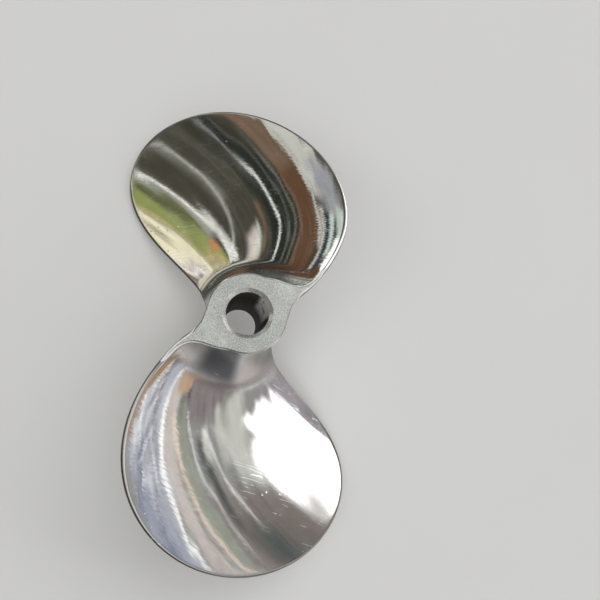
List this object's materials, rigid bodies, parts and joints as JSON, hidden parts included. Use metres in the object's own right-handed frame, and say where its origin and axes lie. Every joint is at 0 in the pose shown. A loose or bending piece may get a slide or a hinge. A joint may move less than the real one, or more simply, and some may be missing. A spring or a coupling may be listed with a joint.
{
  "type": "boat propeller",
  "caption": "One-piece polished cast propeller with broad, cupped left-hand blades and a long, plain-bored hub with flat machined ends, for a small boat's shaft.",
  "frame": {"origin": "on the shaft's axis, in the plane of the machined front face of the hub", "axes": "+Z along the shaft's axis and out of the front face; +Y towards the blade that is the upper one in the picture, +X to its right"},
  "size_m": [0.1152, 0.2154, 0.0684],
  "materials": {
    "polished_aluminium": "hand-polished blades with fine brush lines, machined matte hub faces, dark rough-bored shaft hole"
  },
  "bodies": {
    "root": {"propeller_casting": "polished_aluminium"}
  },
  "joints": []
}
